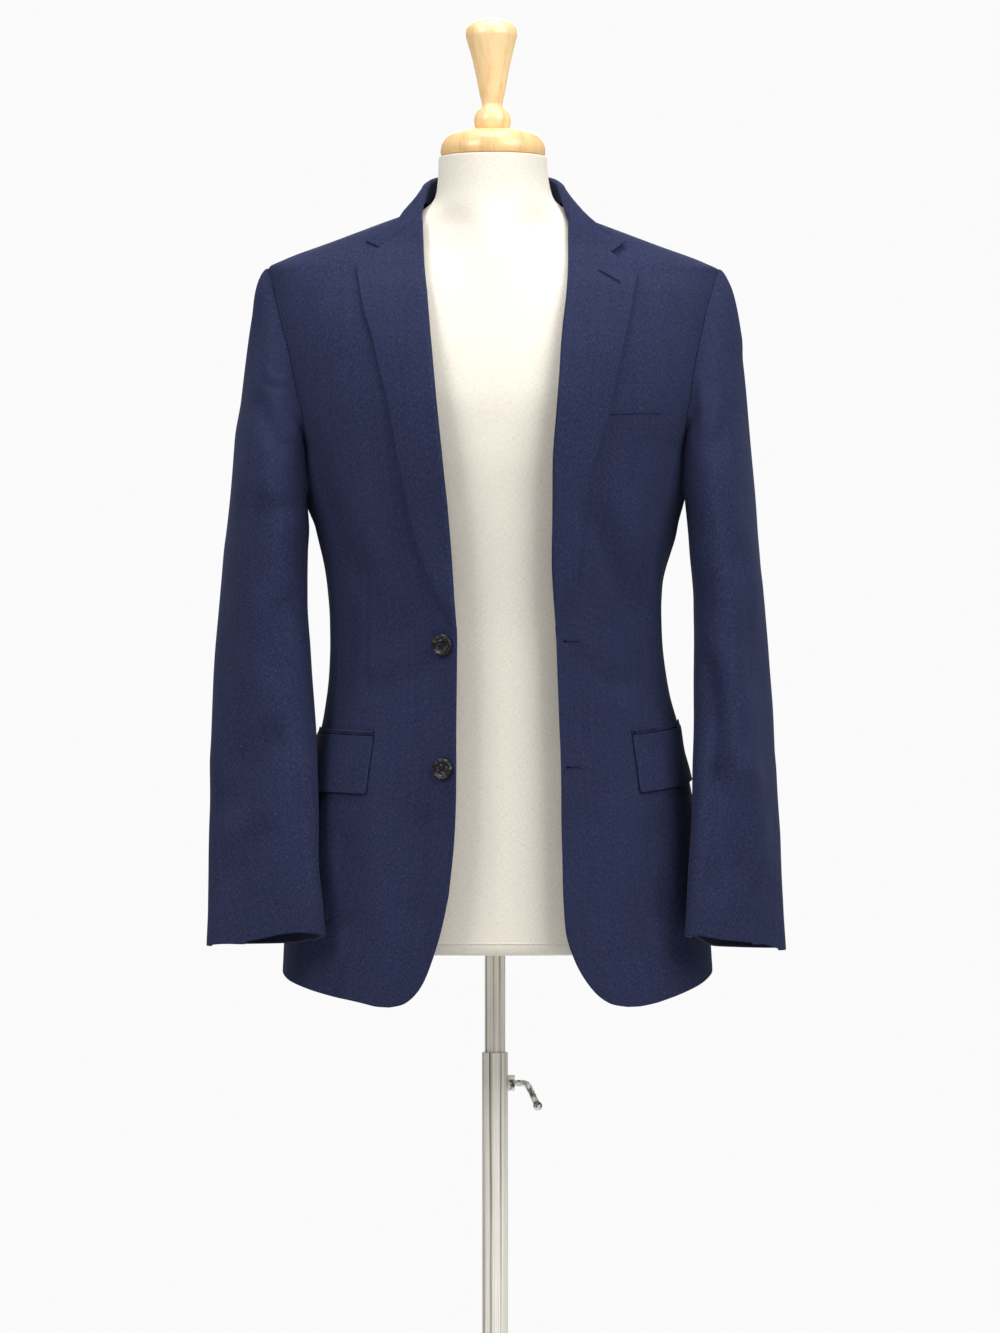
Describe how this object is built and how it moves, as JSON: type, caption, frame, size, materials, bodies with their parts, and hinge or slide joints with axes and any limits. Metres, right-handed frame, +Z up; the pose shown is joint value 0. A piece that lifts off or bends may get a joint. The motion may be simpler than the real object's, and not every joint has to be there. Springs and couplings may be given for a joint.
{
  "type": "blazer on a limbless dress form and stand",
  "caption": "Single breasted blazer with notch lapels, hanging open on a limbless dress form over a height-adjustable pole stand with a round base.",
  "frame": {"origin": "middle of the base plate's underside, on the axis of the stand", "axes": "+Z up the stand; the garment faces -Y, so the wearer's left is +X"},
  "size_m": [0.5637, 0.38, 1.65],
  "materials": {
    "navy_wool": "matt milled wool",
    "horn": "polished horn",
    "canvas": "matt cotton cover",
    "turned_wood": "satin lacquer",
    "steel": "brushed"
  },
  "bodies": {
    "stand": {"base_plate": "steel", "base_boss": "steel", "outer_tube": "steel", "clamp_nut": "steel"},
    "pole": {"inner_tube": "steel"},
    "form": {"form_body": "canvas", "neck_cap": "turned_wood", "finial": "turned_wood", "front_left": "navy_wool", "side_left": "navy_wool", "back_left": "navy_wool", "sleeve_top_left": "navy_wool", "sleeve_under_left": "navy_wool", "lapel_left": "navy_wool", "flap_left": "navy_wool", "jet_left": "navy_wool", "front_right": "navy_wool", "side_right": "navy_wool", "back_right": "navy_wool", "sleeve_top_right": "navy_wool", "sleeve_under_right": "navy_wool", "lapel_right": "navy_wool", "flap_right": "navy_wool", "jet_right": "navy_wool", "collar": "navy_wool", "chest_welt": "navy_wool", "button_1": "horn", "button_2": "horn"},
    "clamp": {"clamp_screw": "steel"}
  },
  "joints": [
    {"name": "height_slide", "type": "slide", "parent": "stand", "child": "pole", "axis": [0, 0, 1], "range_m": [-0.09, 0.24]},
    {"name": "form_swivel", "type": "hinge", "parent": "pole", "child": "form", "pos_m": [0, 0, 0.78], "axis": [0, 0, 1], "continuous": true},
    {"name": "clamp_turn", "type": "hinge", "parent": "stand", "child": "clamp", "pos_m": [0, 0, 0.612], "axis": [1, 0, 0], "range_deg": [0, 360]}
  ]
}
